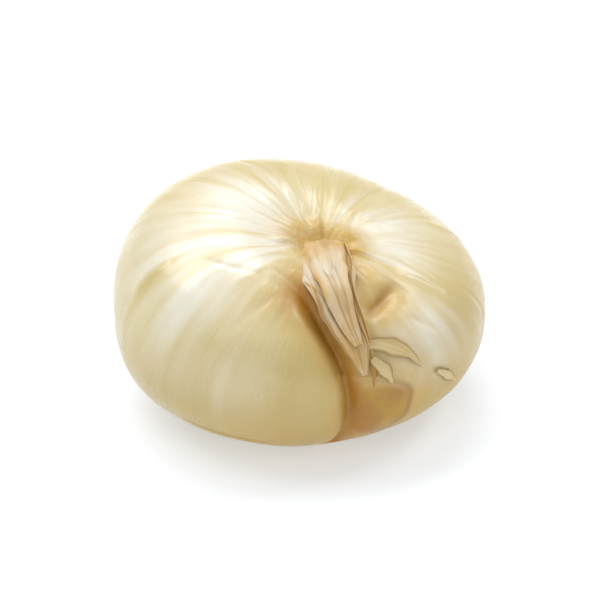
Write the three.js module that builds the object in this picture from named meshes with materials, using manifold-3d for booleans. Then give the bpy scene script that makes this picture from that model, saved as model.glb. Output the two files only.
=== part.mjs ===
// Cipollini onion: a flat, lopsided bulb that sits on its underside, with its withered neck folded
// over the front shoulder, two shreds of torn leaf beside it, and a root plate in the hollow below.
// Millimetres, +Z up. The front, where the neck falls, faces -Y. The origin is on the surface that
// the onion rests on, under the middle of its footprint.
import * as THREE from 'three';
import { mergeVertices } from 'three/addons/utils/BufferGeometryUtils.js';
import Module from 'manifold-3d';

const wasm = await Module();
wasm.setup();

const degrees = THREE.MathUtils.degToRad;

// ---- Driving dimensions ---------------------------------------------------------------------
// The bulb is a squarish ellipse turned about its axis. Squareness 2 is a true ellipse.
const BELLY_RADIUS = 29.6;
const SHOULDER_HEIGHT = 18.7;
const SHOULDER_SQUARENESS = 2.65;
const KEEL_DEPTH = 16;
const KEEL_SQUARENESS = 2.4;

// It grew fuller towards one side, and a little oval. Angles turn about the axis from +X.
const FULL_SIDE = degrees(165);
const FULL_SIDE_REACH = 0.045;
const FULL_SIDE_RISE = 0.42;
const LONG_WAY = degrees(12);
const OVALNESS = 0.05;

// How it sits: the axis nods towards the front, and the underside is flattened where it rests.
const NOD = degrees(3);
const REST_CUT = 0.9;
const REST_ROUNDING = 0.25;

// Places on the skin are [turn, lift] in degrees: turn goes about the axis, and lift runs from -90
// at the roots through 0 at the belly to 90 at the top. The two hollows are the soft pit that the
// neck stands in, a little in front of the axis, and the steep-sided one round the roots.
const NECK_PIT = { middle: [304, 85.5], depth: 4.0, spread: 8, steepness: 2 };
const ROOT_HOLLOW = { middle: [0, -90], depth: 3.0, spread: 5.2, steepness: 4 };
const HOLLOWS = [NECK_PIT, ROOT_HOLLOW];

// Furrows run along a few places: a deep cleft down the front, the bed that the neck lies in, and
// a short crease beside it.
const CLEFT = {
  places: [[243, 68], [262, 63], [274, 49], [281, 31], [284, 14], [285, -2], [284, -23], [281, -42]],
  depth: 1.6,
  halfWidth: 2.3,
};
const NECK_BED = {
  places: [[304, 74], [291, 60], [290, 46], [291, 30], [289, 14]],
  depth: 1.3,
  halfWidth: 4.5,
};
const SIDE_CREASE = { places: [[298, 49], [310, 54], [325, 58]], depth: 1.2, halfWidth: 2.2 };
const FURROWS = [CLEFT, NECK_BED, SIDE_CREASE];

// The withered neck starts below the pit, folds over at its knuckle and lies along the skin to its
// tip. Its foot and knuckle are measured from the bottom of the pit.
const NECK_FOOT = [0, 0.8, -2.0];
const NECK_KNUCKLE = [0.1, -1.1, 0.5];
const NECK_PLACES = [[284, 61], [286, 46], [289, 32], [290, 15]];
const NECK_CLEARANCE = [2.3, 1.9, 1.4, 0.6];
const NECK_ACROSS = degrees(16);
const NECK_HALF_WIDTH = [5.4, 5.0, 4.7, 4.1, 3.4, 2.3, 0.7];
const NECK_HALF_THICKNESS = [3.0, 2.6, 2.0, 1.5, 1.1, 0.75, 0.4];
const NECK_RIDGES = 5;
const NECK_RIDGE_DEPTH = 0.1;

// Two shreds of leaf, torn from the neck and dried onto the skin.
const UPPER_SHRED = { places: [[296, 33], [303, 30], [309, 23], [312, 11]], halfWidth: 1.35 };
const LOWER_SHRED = { places: [[297, 23], [299, 15], [300, 6]], halfWidth: 1.15 };
const SHRED_END = 0.25;
const SHRED_HALF_THICKNESS = 0.28;
const SHRED_CLEARANCE = 0.6;

// The root plate is a low button with a ring of short dried roots, all clear of the surface below.
const PLATE_RADIUS = 3.6;
const PLATE_THICKNESS = 1.1;
const PLATE_FACE = 0.7;
const PLATE_BEVEL = 0.45;
const ROOT_COUNT = 14;
const ROOT_LENGTH = 1.8;
const ROOT_UNEVENNESS = 0.2;
const ROOT_RADIUS = 0.42;
const ROOT_TIP = 0.4;
const ROOT_SPLAY = degrees(62);

// Pieces that touch keep this gap.
const GAP = 0.3;

// Mesh fineness: steps around and along each shape.
const BULB_STEPS = [72, 40];
const NECK_STEPS = [20, 26];
const SHRED_STEPS = [8, 12];
const PLATE_STEPS = 24;
const ROOT_STEPS = 7;

// ---- The skin, as a formula -------------------------------------------------------------------
// A place on the smooth bulb, before any hollow or furrow, in the onion's own frame (Z is its axis).
function smoothSkin(turn, lift) {
  const above = lift > 0;
  const power = 2 / (above ? SHOULDER_SQUARENESS : KEEL_SQUARENESS);
  const ring = Math.max(Math.cos(lift), 0) ** power;
  const rise = Math.abs(Math.sin(lift)) ** power;
  const towardsFullSide = Math.cos(turn - FULL_SIDE);
  const oval = OVALNESS * Math.cos(2 * (turn - LONG_WAY));
  const radius = BELLY_RADIUS * (1 + FULL_SIDE_REACH * towardsFullSide + oval) * ring;
  const shoulder = SHOULDER_HEIGHT * (1 + FULL_SIDE_RISE * towardsFullSide * Math.cos(lift));
  const height = above ? shoulder * rise : -KEEL_DEPTH * rise;
  return new THREE.Vector3(radius * Math.cos(turn), radius * Math.sin(turn), height);
}

// The way out of the bulb at a place on it, as on a plain ellipsoid of the same size.
function outward(place) {
  const wide = BELLY_RADIUS ** 2;
  return new THREE.Vector3(place.x / wide, place.y / wide, place.z / SHOULDER_HEIGHT ** 2).normalize();
}

function placeOn([turn, lift]) {
  return smoothSkin(degrees(turn), degrees(lift));
}

// Sample points down the middle of each furrow. Its depth fades in and out along its length.
const FURROW_SAMPLES = 36;
const furrows = FURROWS.map(({ places, depth, halfWidth }) => ({
  points: new THREE.CatmullRomCurve3(places.map(placeOn)).getPoints(FURROW_SAMPLES),
  depth,
  halfWidth,
}));

function furrowDepth(furrow, place) {
  let deepest = 0;
  furrow.points.forEach((point, i) => {
    const fade = Math.sin(Math.PI * i / FURROW_SAMPLES) ** 0.6;
    const away = place.distanceTo(point) / furrow.halfWidth;
    deepest = Math.max(deepest, furrow.depth * fade * Math.exp(-away * away));
  });
  return deepest;
}

function hollowDepth(hollow, place) {
  const away = place.distanceTo(placeOn(hollow.middle)) / hollow.spread;
  return hollow.depth * Math.exp(-(away ** hollow.steepness));
}

// A place on the finished skin, or a distance `raise` above it. Its angles are in radians.
function onSkin(turn, lift, raise = 0) {
  const place = smoothSkin(turn, lift);
  const hollow = HOLLOWS.reduce((sum, each) => sum + hollowDepth(each, place), 0);
  const furrow = furrows.reduce((sum, each) => sum + furrowDepth(each, place), 0);
  return place.addScaledVector(outward(place), raise - hollow - furrow);
}

// ---- How the onion sits -----------------------------------------------------------------------
const lean = new THREE.Quaternion().setFromAxisAngle(new THREE.Vector3(1, 0, 0), NOD);
const upright = new THREE.Vector3(0, 0, 1).applyQuaternion(lean.clone().invert());

// Height of the surface that the onion rests on, measured along `upright` in the onion's own frame.
function restingLevel() {
  let lowest = Infinity;
  for (let turn = 0; turn < 360; turn += 2) {
    for (let lift = -90; lift < 0; lift += 2) {
      lowest = Math.min(lowest, placeOn([turn, lift]).dot(upright));
    }
  }
  return lowest + REST_CUT;
}
const floorLevel = restingLevel();

// Anything below the floor is pressed flat onto it, with a small rounding at the edge of the flat.
function pressFlat(place) {
  const height = place.dot(upright) - floorLevel;
  let settled = height;
  if (height < -REST_ROUNDING) settled = 0;
  else if (height < REST_ROUNDING) settled = (height + REST_ROUNDING) ** 2 / (4 * REST_ROUNDING);
  return place.addScaledVector(upright, settled - height);
}

// ---- Shaping three.js geometry -----------------------------------------------------------------
function reshape(geometry, move) {
  const position = geometry.attributes.position;
  const vertex = new THREE.Vector3();
  for (let i = 0; i < position.count; i++) {
    const moved = move(vertex.fromBufferAttribute(position, i));
    position.setXYZ(i, moved.x, moved.y, moved.z);
  }
  geometry.deleteAttribute('normal');
  geometry.deleteAttribute('uv');
  return mergeVertices(geometry, 1e-4);
}

function toSolid(geometry) {
  return new wasm.Manifold(new wasm.Mesh({
    numProp: 3,
    vertProperties: Float32Array.from(geometry.attributes.position.array),
    triVerts: Uint32Array.from(geometry.index.array),
  }));
}

function toGeometry(solid) {
  const { vertProperties, triVerts } = solid.getMesh();
  const geometry = new THREE.BufferGeometry();
  geometry.setAttribute('position', new THREE.BufferAttribute(vertProperties, 3));
  geometry.setIndex(new THREE.BufferAttribute(triVerts, 1));
  return geometry;
}

// A unit sphere wrapped onto the skin, its poles at the neck and the roots.
function bulbShape(raise = 0) {
  return reshape(new THREE.SphereGeometry(1, ...BULB_STEPS), (vertex) => {
    const lift = Math.asin(THREE.MathUtils.clamp(vertex.y, -1, 1));
    const turn = Math.atan2(-vertex.z, vertex.x);
    return pressFlat(onSkin(turn, lift, raise));
  });
}

// A value that follows a list of stations evenly spaced along a length, t from 0 to 1.
function along(stations, t) {
  const at = t * (stations.length - 1);
  const i = Math.min(Math.floor(at), stations.length - 2);
  return THREE.MathUtils.lerp(stations[i], stations[i + 1], at - i);
}

// A flattened tube along a route. `broadWay` gives the direction of its width at each t.
function ribbon(route, broadWay, steps, halfWidth, halfThickness, ridge = () => 1) {
  return reshape(new THREE.CylinderGeometry(1, 1, 1, steps[0], steps[1]), (vertex) => {
    const t = vertex.y + 0.5;
    const tangent = route.getTangentAt(t);
    const across = broadWay(t).projectOnPlane(tangent).normalize();
    const under = new THREE.Vector3().crossVectors(across, tangent);
    const swell = ridge(Math.atan2(vertex.z, vertex.x));
    return route.getPointAt(t)
      .addScaledVector(across, vertex.x * halfWidth(t) * swell)
      .addScaledVector(under, vertex.z * halfThickness(t) * swell);
  });
}

// ---- The pieces ----------------------------------------------------------------------------------
const pit = onSkin(...NECK_PIT.middle.map(degrees));
const rootEnd = onSkin(...ROOT_HOLLOW.middle.map(degrees));
const bulbWithGap = toSolid(bulbShape(GAP));

const neckRoute = new THREE.CatmullRomCurve3([
  pit.clone().add(new THREE.Vector3(...NECK_FOOT)),
  pit.clone().add(new THREE.Vector3(...NECK_KNUCKLE)),
  ...NECK_PLACES.map(([turn, lift], i) => onSkin(degrees(turn), degrees(lift), NECK_CLEARANCE[i])),
]);

// `grow` makes a slightly larger copy, which the shreds are cut clear of.
function neckShape(grow = 0) {
  return ribbon(
    neckRoute,
    () => new THREE.Vector3(Math.cos(NECK_ACROSS), Math.sin(NECK_ACROSS), 0),
    NECK_STEPS,
    (t) => along(NECK_HALF_WIDTH, t) + grow,
    (t) => along(NECK_HALF_THICKNESS, t) + grow,
    (angle) => 1 + NECK_RIDGE_DEPTH * Math.cos(NECK_RIDGES * angle),
  );
}

function shredShape({ places, halfWidth }) {
  const route = new THREE.CatmullRomCurve3(
    places.map(([turn, lift]) => onSkin(degrees(turn), degrees(lift), SHRED_CLEARANCE)),
  );
  const taper = (t) => SHRED_END + (1 - SHRED_END) * Math.sin(Math.PI * (0.15 + 0.8 * t));
  return ribbon(
    route,
    (t) => outward(route.getPointAt(t)).cross(route.getTangentAt(t)).negate(),
    SHRED_STEPS,
    (t) => halfWidth * taper(t),
    () => SHRED_HALF_THICKNESS,
  );
}

// The button, turned about the onion's axis, from its middle below to its middle inside the bulb.
function plateShape() {
  const face = rootEnd.z - GAP - PLATE_THICKNESS;
  const profile = [
    [0, face],
    [PLATE_RADIUS * PLATE_FACE, face],
    [PLATE_RADIUS, face + PLATE_THICKNESS * PLATE_BEVEL],
    [PLATE_RADIUS, face + PLATE_THICKNESS * 2],
    [0, face + PLATE_THICKNESS * 2],
  ].map(([radius, height]) => new THREE.Vector2(radius, height));
  const turnUpright = (vertex) => vertex.set(vertex.x, -vertex.z, vertex.y);
  return reshape(new THREE.LatheGeometry(profile, PLATE_STEPS), turnUpright);
}

function rootShape(turn, length) {
  const start = new THREE.Vector3(PLATE_RADIUS * 0.62, 0, rootEnd.z - GAP - PLATE_THICKNESS * 0.4);
  const splay = new THREE.Vector3(Math.sin(ROOT_SPLAY), 0, -Math.cos(ROOT_SPLAY));
  const root = new THREE.CylinderGeometry(ROOT_RADIUS, ROOT_RADIUS * ROOT_TIP, length, ROOT_STEPS);
  root.translate(0, -length / 2, 0);
  root.applyQuaternion(new THREE.Quaternion().setFromUnitVectors(new THREE.Vector3(0, -1, 0), splay));
  root.translate(start.x, start.y, start.z);
  root.rotateZ(turn);
  return reshape(root, (vertex) => vertex);
}

function rootPlateShape() {
  let solid = toSolid(plateShape());
  for (let i = 0; i < ROOT_COUNT; i++) {
    const length = ROOT_LENGTH * (1 + ROOT_UNEVENNESS * Math.sin(2.4 * i));
    solid = solid.add(toSolid(rootShape(2 * Math.PI * i / ROOT_COUNT, length)));
  }
  return toGeometry(solid.subtract(bulbWithGap));
}

// ---- Putting it together ---------------------------------------------------------------------------
const paperySkin = new THREE.MeshStandardMaterial({ color: 0xe6d9ae, roughness: 0.38, metalness: 0 });
const driedLeaf = new THREE.MeshStandardMaterial({ color: 0xc9b083, roughness: 0.85, metalness: 0 });
const driedRoot = new THREE.MeshStandardMaterial({ color: 0xa98a5c, roughness: 0.9, metalness: 0 });

function piece(name, geometry, material) {
  geometry.computeVertexNormals();
  const mesh = new THREE.Mesh(geometry, material);
  mesh.name = name;
  return mesh;
}

const neck = toSolid(neckShape()).subtract(bulbWithGap);
const neckWithGap = toSolid(neckShape(GAP));
const shredPiece = (shred) => {
  const solid = toSolid(shredShape(shred)).subtract(bulbWithGap).subtract(neckWithGap);
  return toGeometry(solid);
};

const tilted = new THREE.Group();
tilted.add(piece('bulb', bulbShape(), paperySkin));
tilted.add(piece('withered_neck', toGeometry(neck), driedLeaf));
tilted.add(piece('torn_leaf_upper', shredPiece(UPPER_SHRED), driedLeaf));
tilted.add(piece('torn_leaf_lower', shredPiece(LOWER_SHRED), driedLeaf));
tilted.add(piece('root_plate', rootPlateShape(), driedRoot));
tilted.quaternion.copy(lean);

// Stand it on the floor with the middle of its footprint over the origin.
const onion = new THREE.Group();
onion.add(tilted);
tilted.position.z = -floorLevel;
const middle = new THREE.Box3().setFromObject(onion, true).getCenter(new THREE.Vector3());
tilted.position.x = -middle.x;
tilted.position.y = -middle.y;

export default onion;
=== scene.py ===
# %% [markdown]
# # A cipollini onion, from its frame to its finish
#
# The construction of this onion is already settled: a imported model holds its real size, the way it
# sits and where its dried neck lies. This lesson loads that model as a fixed frame and makes the
# surfaces that the eye sees around it: the pearly papery skin, the withered leaves folded over the
# shoulder, the torn shreds, the root button and its wiry roots. Lengths are in millimetres until a
# mesh is finished, because an onion is small and its wrinkles are easier to think about that way.

import math

import bmesh
import bpy
import numpy as np
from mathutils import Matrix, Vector, noise


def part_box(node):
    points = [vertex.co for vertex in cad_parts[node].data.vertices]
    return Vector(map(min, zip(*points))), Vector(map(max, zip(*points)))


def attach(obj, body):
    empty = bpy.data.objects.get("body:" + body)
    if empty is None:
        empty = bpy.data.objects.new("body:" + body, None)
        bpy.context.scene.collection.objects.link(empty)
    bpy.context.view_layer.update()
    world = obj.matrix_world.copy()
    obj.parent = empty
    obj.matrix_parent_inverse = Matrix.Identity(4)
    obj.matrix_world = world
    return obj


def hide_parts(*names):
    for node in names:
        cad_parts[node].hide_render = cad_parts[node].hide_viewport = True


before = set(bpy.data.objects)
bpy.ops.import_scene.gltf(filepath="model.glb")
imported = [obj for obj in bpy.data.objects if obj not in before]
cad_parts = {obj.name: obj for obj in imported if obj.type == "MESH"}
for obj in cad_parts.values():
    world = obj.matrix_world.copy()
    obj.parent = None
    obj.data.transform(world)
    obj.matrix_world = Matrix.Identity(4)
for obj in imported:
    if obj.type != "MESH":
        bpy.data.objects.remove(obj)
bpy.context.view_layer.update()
scene = bpy.context.scene
MM = 0.001

# %% [markdown]
# ## The bulb as a formula
#
# A flat onion could be sculpted, or turned on a lathe from a profile. A lathe gives a perfect pot,
# though, and no onion is one: this one is fuller on one side and a little oval. So the bulb is a
# squarish ellipse whose reach and height change as it goes round. A place on it is named by two
# angles in degrees: `turn` goes about the axis, and `lift` runs from -90 at the roots through 0 at
# the belly to 90 at the top. The same numbers shaped the frame, so the two agree.

# %% Driving dimensions of the bulb, in millimetres
BELLY_RADIUS = 29.6
SHOULDER_HEIGHT = 18.7
SHOULDER_SQUARENESS = 2.65
KEEL_DEPTH = 16.0
KEEL_SQUARENESS = 2.4
FULL_SIDE = math.radians(165)
FULL_SIDE_REACH = 0.045
FULL_SIDE_RISE = 0.42
LONG_WAY = math.radians(12)
OVALNESS = 0.05
NOD = math.radians(3)
REST_CUT = 0.9
REST_ROUNDING = 0.25


def smooth_skin(turn, lift):
    """Points of the plain bulb for arrays of angles in radians, one row each."""
    above = lift > 0
    power = 2 / np.where(above, SHOULDER_SQUARENESS, KEEL_SQUARENESS)
    ring = np.clip(np.cos(lift), 0, None) ** power
    rise = np.abs(np.sin(lift)) ** power
    full = np.cos(turn - FULL_SIDE)
    oval = OVALNESS * np.cos(2 * (turn - LONG_WAY))
    radius = BELLY_RADIUS * (1 + FULL_SIDE_REACH * full + oval) * ring
    shoulder = SHOULDER_HEIGHT * (1 + FULL_SIDE_RISE * full * np.cos(lift))
    height = np.where(above, shoulder * rise, -KEEL_DEPTH * rise)
    return np.stack([radius * np.cos(turn), radius * np.sin(turn), height], axis=-1)


def outward(points):
    """The way out of the bulb, as on a plain ellipsoid of the same size."""
    size = np.array([BELLY_RADIUS, BELLY_RADIUS, SHOULDER_HEIGHT])
    way = points / size**2
    return way / np.linalg.norm(way, axis=-1, keepdims=True)


def places_on(places):
    """Points of the plain bulb for [turn, lift] pairs in degrees."""
    turn, lift = np.radians(np.array(places, float)).T
    return smooth_skin(turn, lift)


print("top of the plain bulb, mm:", places_on([[0, 90]])[0].round(2))

# %% [markdown]
# ## Lines and spots on the skin
#
# Almost everything that happens on the skin happens near a line or near a spot: the cleft down the
# front, the bed under the neck, the pit, a stain. These helpers answer the questions that each of
# them asks: how far is a point of the skin from the line, how far along it, and on which side?


# %% Helpers for lines and spots
def smooth_line(points, count):
    """A Catmull-Rom line through the points, sampled at even lengths."""
    points = np.asarray(points, float)
    ends = np.vstack([2 * points[0] - points[1], points, 2 * points[-1] - points[-2]])
    fine = []
    for at in np.linspace(0, len(points) - 1.0001, 6 * count):
        i = int(at)
        f = at - i
        a, b, c, d = ends[i : i + 4]
        bend = (2 * a - 5 * b + 4 * c - d) * f**2 + (3 * b - a - 3 * c + d) * f**3
        fine.append(0.5 * (2 * b + (c - a) * f + bend))
    fine = np.array(fine)
    steps = np.linalg.norm(np.diff(fine, axis=0), axis=1)
    length = np.concatenate([[0], np.cumsum(steps)])
    even = np.linspace(0, length[-1], count)
    return np.stack([np.interp(even, length, fine[:, k]) for k in range(3)], axis=-1)


def unit(vectors):
    return vectors / np.maximum(np.linalg.norm(vectors, axis=-1, keepdims=True), 1e-9)


def near_line(points, line):
    """Distance of each point from a line, how far along it (0 to 1), and its side (-1 or 1)."""
    tangents = unit(np.gradient(line, axis=0))
    nearest = np.full(len(points), np.inf)
    index = np.zeros(len(points), int)
    for i, station in enumerate(line):
        away = ((points - station) ** 2).sum(axis=1)
        closer = away < nearest
        nearest[closer] = away[closer]
        index[closer] = i
    offset = points - line[index]
    inside = (index > 0) & (index < len(line) - 1)
    slip = (offset * tangents[index]).sum(axis=1) * inside
    offset = offset - slip[:, None] * tangents[index]
    side = (offset * np.cross(tangents[index], outward(line[index]))).sum(axis=1)
    return np.linalg.norm(offset, axis=1), index / (len(line) - 1), np.sign(side)


def near_spot(points, place):
    return np.linalg.norm(points - places_on([place])[0], axis=1)


def ease(low, high, value):
    """Runs smoothly from 0 at `low` to 1 at `high`."""
    t = np.clip((value - low) / (high - low), 0, 1)
    return t * t * (3 - 2 * t)


def bump(distance, width):
    return np.exp(-((distance / width) ** 2))


def wander(points, size, seed=0.0):
    """Smooth noise, about -1 to 1, whose lumps are `size` across, at each row of points."""
    shift = Vector((seed, 2.7 * seed, -1.3 * seed))
    return np.array([noise.noise(Vector(p) / size + shift) for p in points])


# %% [markdown]
# ## Hollows and furrows
#
# The frame already has the large dents, so the plain skin repeats them: the soft pit that the neck
# stands in, the steep hollow round the roots, the cleft, the neck's bed and a crease beside it.

# %% The large dents, in degrees and millimetres
NECK_PIT = {"middle": [304, 85.5], "depth": 4.0, "spread": 8.0, "steepness": 2}
ROOT_HOLLOW = {"middle": [0, -90], "depth": 3.0, "spread": 5.2, "steepness": 4}
CLEFT = {
    "places": [[243, 68], [262, 63], [274, 49], [281, 31], [284, 14], [285, -2], [284, -23], [281, -42]],
    "depth": 1.6,
    "half_width": 2.3,
}
NECK_BED = {
    "places": [[304, 74], [291, 60], [290, 46], [291, 30], [289, 14]],
    "depth": 1.3,
    "half_width": 4.5,
}
SIDE_CREASE = {"places": [[298, 49], [310, 54], [325, 58]], "depth": 1.2, "half_width": 2.2}
LINE_SAMPLES = 150
pit_point = places_on([NECK_PIT["middle"]])[0]
cleft_line, bed_line, crease_line = (
    smooth_line(places_on(furrow["places"]), LINE_SAMPLES) for furrow in (CLEFT, NECK_BED, SIDE_CREASE)
)


def hollow_depth(points, hollow):
    away = near_spot(points, hollow["middle"]) / hollow["spread"]
    return hollow["depth"] * np.exp(-(away ** hollow["steepness"]))


def furrow_depth(points, furrow, line):
    distance, along, _ = near_line(points, line)
    fade = np.sin(np.pi * along) ** 0.6
    return furrow["depth"] * fade * bump(distance, furrow["half_width"])


def large_dents(points):
    depth = hollow_depth(points, NECK_PIT) + hollow_depth(points, ROOT_HOLLOW)
    depth += furrow_depth(points, CLEFT, cleft_line)
    depth += furrow_depth(points, NECK_BED, bed_line)
    return depth + furrow_depth(points, SIDE_CREASE, crease_line)


def above_skin(places, clearance):
    """Points a clearance above the dented skin, for [turn, lift] places in degrees."""
    points = places_on(places)
    lift = np.broadcast_to(clearance, len(points)) - large_dents(points)
    return points + outward(points) * lift[:, None]


print("pit of the neck, mm:", above_skin([NECK_PIT["middle"]], 0)[0].round(2))

# %% [markdown]
# ## From the onion's own frame to the scene
#
# The axis of the onion nods a little towards the front, and the underside is pressed flat where it
# rests. The turn comes first, then the height is measured from the floor, and at last everything
# slides sideways by the step that brings the bulb's box onto the frame's.


# %% Standing it on the floor
def nodded(points):
    x, y, z = np.asarray(points, float).T
    forward = y * math.cos(NOD) - z * math.sin(NOD)
    upward = y * math.sin(NOD) + z * math.cos(NOD)
    return np.stack([x, forward, upward], axis=-1)


def press_flat(height):
    """Heights above the floor, with all that would be under it laid on it."""
    settled = np.where(height < -REST_ROUNDING, 0, height)
    edge = np.abs(height) < REST_ROUNDING
    return np.where(edge, (height + REST_ROUNDING) ** 2 / (4 * REST_ROUNDING), settled)


around, up_and_down = np.meshgrid(np.radians(np.arange(0, 360, 2)), np.radians(np.arange(-90, 91, 2)))
whole = smooth_skin(around.ravel(), up_and_down.ravel())
FLOOR_LEVEL = nodded(whole)[:, 2].min() + REST_CUT
dented = nodded(whole - outward(whole) * large_dents(whole)[:, None])
bulb_low, bulb_high = (np.array(corner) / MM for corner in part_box("bulb"))
SLIDE = (bulb_low + bulb_high) / 2 - (dented.min(axis=0) + dented.max(axis=0)) / 2
SLIDE[2] = -FLOOR_LEVEL
top_gap = dented[:, 2].max() + SLIDE[2] - bulb_high[2]
print("slide, mm:", SLIDE.round(2), " top of bulb against frame, mm:", top_gap.round(2))


def to_scene(points, flat=False):
    """Millimetres in the onion's frame to metres in the scene."""
    placed = nodded(points) + SLIDE
    if flat:
        placed[:, 2] = press_flat(placed[:, 2])
    return placed * MM


# %% [markdown]
# ## The skin's fine relief
#
# Close up, an onion is not smooth. Fine ribs run from neck to root like meridians, because each
# leaf's veins do. Round the neck the skin gathers into pleats with sharp valleys, as a bag does
# under its string, and climbs the neck in a crumpled collar. All of it follows the growth, so it is
# worked out in growth directions: an angle about the neck near the top that turns gently into an
# angle about the axis lower down.


# %% Growth directions
def growth_directions(points):
    """Angle about the growth centre, distance in plan from the neck's pit, and height."""
    top = ease(0, 17, points[:, 2])[:, None]
    centre = pit_point[:2] * top
    across = points[:, :2] - centre
    angle = np.arctan2(across[:, 1], across[:, 0])
    return angle, np.linalg.norm(points[:, :2] - pit_point[:2], axis=1), points[:, 2]


def round_the_neck(angle, turns, drift, seed):
    """Noise that repeats round a full turn: about `turns` lumps a turn, slowly changed by drift."""
    ring = np.stack([np.cos(angle) * turns / 3, np.sin(angle) * turns / 3, drift], axis=-1)
    return wander(ring, 1.0, seed)


# %% Pleats, ribs and lumps
PLEAT_DEPTH = 0.42
PLEAT_REACH = 13.0
RIB_HEIGHT = 0.03
LUMP_HEIGHT = 0.26
COLLAR_HEIGHT = 1.0
NECK_FOOT = np.array([5.8, 4.3])


def neck_foot_distance(points):
    """1 on the edge of the neck's oval foot, less inside it and more outside."""
    return np.linalg.norm((points[:, :2] - pit_point[:2]) / NECK_FOOT, axis=1) + 2 * (points[:, 2] < 0)


def fine_relief(points):
    angle, from_neck, height = growth_directions(points)
    on_top = ease(2, 12, height)
    near_neck = np.exp(-((np.clip(from_neck - 5, 0, None) / PLEAT_REACH) ** 1.6)) * on_top
    broad = round_the_neck(angle, 9, from_neck / 16, 3.1)
    narrow = round_the_neck(angle, 18, from_neck / 9, 8.4)
    valleys = -bump(broad, 0.07) - 0.6 * bump(narrow, 0.10)
    relief = PLEAT_DEPTH * near_neck * (0.9 * broad + 0.75 * narrow + 0.3 * valleys)
    relief += RIB_HEIGHT * round_the_neck(angle, 75, height / 40, 5.5)
    relief += LUMP_HEIGHT * (wander(points, 13, 1.7) + 0.4 * wander(points, 5.5, 4.2))
    foot = neck_foot_distance(points)
    folds = round_the_neck(angle, 16, 0.4 * foot, 6.6)
    collar = COLLAR_HEIGHT * bump(foot - 1.0, 0.42) * (1 + 0.55 * folds)
    return relief + collar


# %% [markdown]
# ## Creases that break the skin
#
# The cleft has a hard line at its bottom, and below the neck the thin outer skin ends along it: one
# side stands a little proud, like a paper edge. A few fine creases cross the shoulder beside the
# neck, one runs along the lower edge of the full side, and others follow the growth down the back.
# On the back too, a patch of older skin still clings, a paper's thickness higher.

# %% Hard creases and the edge of the outer skin
CREASES = [
    {"places": [[250, 64], [236, 62], [222, 58], [210, 53]], "depth": 0.14, "half_width": 0.5},
    {"places": [[256, 58], [250, 50], [244, 38], [240, 30]], "depth": 0.24, "half_width": 0.8},
    {"places": [[262, 56], [259, 46], [256, 38]], "depth": 0.2, "half_width": 0.6},
    {"places": [[206, 44], [203, 32], [201, 18]], "depth": -0.3, "half_width": 1.1},
    {"places": [[299, 46], [308, 52], [322, 57]], "depth": 0.55, "half_width": 0.8},
    {"places": [[224, -19], [232, -23], [246, -26], [258, -30]], "depth": 0.45, "half_width": 0.5},
    {"places": [[330, 62], [338, 52], [342, 40]], "depth": 0.22, "half_width": 0.7},
    {"places": [[316, 42], [322, 33], [326, 24]], "depth": 0.16, "half_width": 0.5},
    {"places": [[40, 70], [52, 50], [58, 24], [60, -6]], "depth": 0.2, "half_width": 0.7},
    {"places": [[118, 66], [124, 44], [126, 16]], "depth": 0.18, "half_width": 0.6},
    {"places": [[84, 62], [88, 30], [90, -8], [90, -42]], "depth": -0.24, "half_width": 0.8},
    {"places": [[100, 50], [103, 14], [106, -34]], "depth": 0.2, "half_width": 0.6},
    {"places": [[140, 60], [144, 26], [147, -12], [148, -44]], "depth": -0.22, "half_width": 0.9},
    {"places": [[160, 36], [163, 8], [164, -26]], "depth": 0.22, "half_width": 0.6},
    {"places": [[22, 58], [25, 26], [26, -14]], "depth": -0.2, "half_width": 0.7},
    {"places": [[350, 40], [353, 10], [353, -24]], "depth": 0.18, "half_width": 0.6},
    {"places": [[112, 12], [124, 7], [138, 8]], "depth": 0.16, "half_width": 0.5},
]
SKIN_EDGE_HEIGHT = 0.18
OLD_SKIN_SPOT = [62, -16]
OLD_SKIN_SIZE = 14.0
OLD_SKIN_THICKNESS = 0.14
CLEFT_LINE_DEPTH = 0.4
CLEFT_LINE_HALF_WIDTH = 0.7
CLEFT_SHADOW_DEPTH = 1.1
CLEFT_SHADOW_HALF_WIDTH = 1.5


def old_skin_cover(points):
    """1 under the patch of older skin, 0 past its ragged edge."""
    away = near_spot(points, OLD_SKIN_SPOT)
    away = away + 2.5 * wander(points, 5.0, 6.1) + 0.8 * wander(points, 1.4, 3.7)
    return 1 - ease(OLD_SKIN_SIZE - 0.5, OLD_SKIN_SIZE, away)


def hard_creases(points):
    relief = np.zeros(len(points))
    for crease_shade in CREASES:
        line = smooth_line(places_on(crease_shade["places"]), LINE_SAMPLES)
        relief -= furrow_depth(points, crease_shade, line)
    distance, along, side = near_line(points, cleft_line)
    ragged = distance + 0.25 * wander(points, 1.6, 9.1)
    fade = np.sin(np.pi * along) ** 0.5
    relief -= CLEFT_LINE_DEPTH * fade * bump(ragged, CLEFT_LINE_HALF_WIDTH)
    below_neck = ease(0.1, 0.4, along) * fade
    relief -= CLEFT_SHADOW_DEPTH * below_neck * bump(distance, CLEFT_SHADOW_HALF_WIDTH)
    edge = ease(0.4, 0.55, along) * (1 - ease(0.93, 1.0, along)) * (side > 0)
    relief += SKIN_EDGE_HEIGHT * edge * distance * np.exp(1 - distance)
    return relief + OLD_SKIN_THICKNESS * old_skin_cover(points)


# %% [markdown]
# ## Making the skin
#
# The skin starts as Blender's own sphere, whose vertices are then carried onto the formula. A
# sphere's rows crowd together at its poles, and the squarish ellipse would spread them out again
# there, so each row's angle is first turned into the `lift` that keeps the rows evenly apart.


# %% Wrap a sphere onto the bulb
def finish_piece(bm, name):
    """Turns a bmesh into a smooth-shaded object that sits at the origin."""
    mesh = bpy.data.meshes.new(name)
    bm.to_mesh(mesh)
    bm.free()
    mesh.shade_smooth()
    piece = bpy.data.objects.new(name, mesh)
    scene.collection.objects.link(piece)
    return piece


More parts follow.
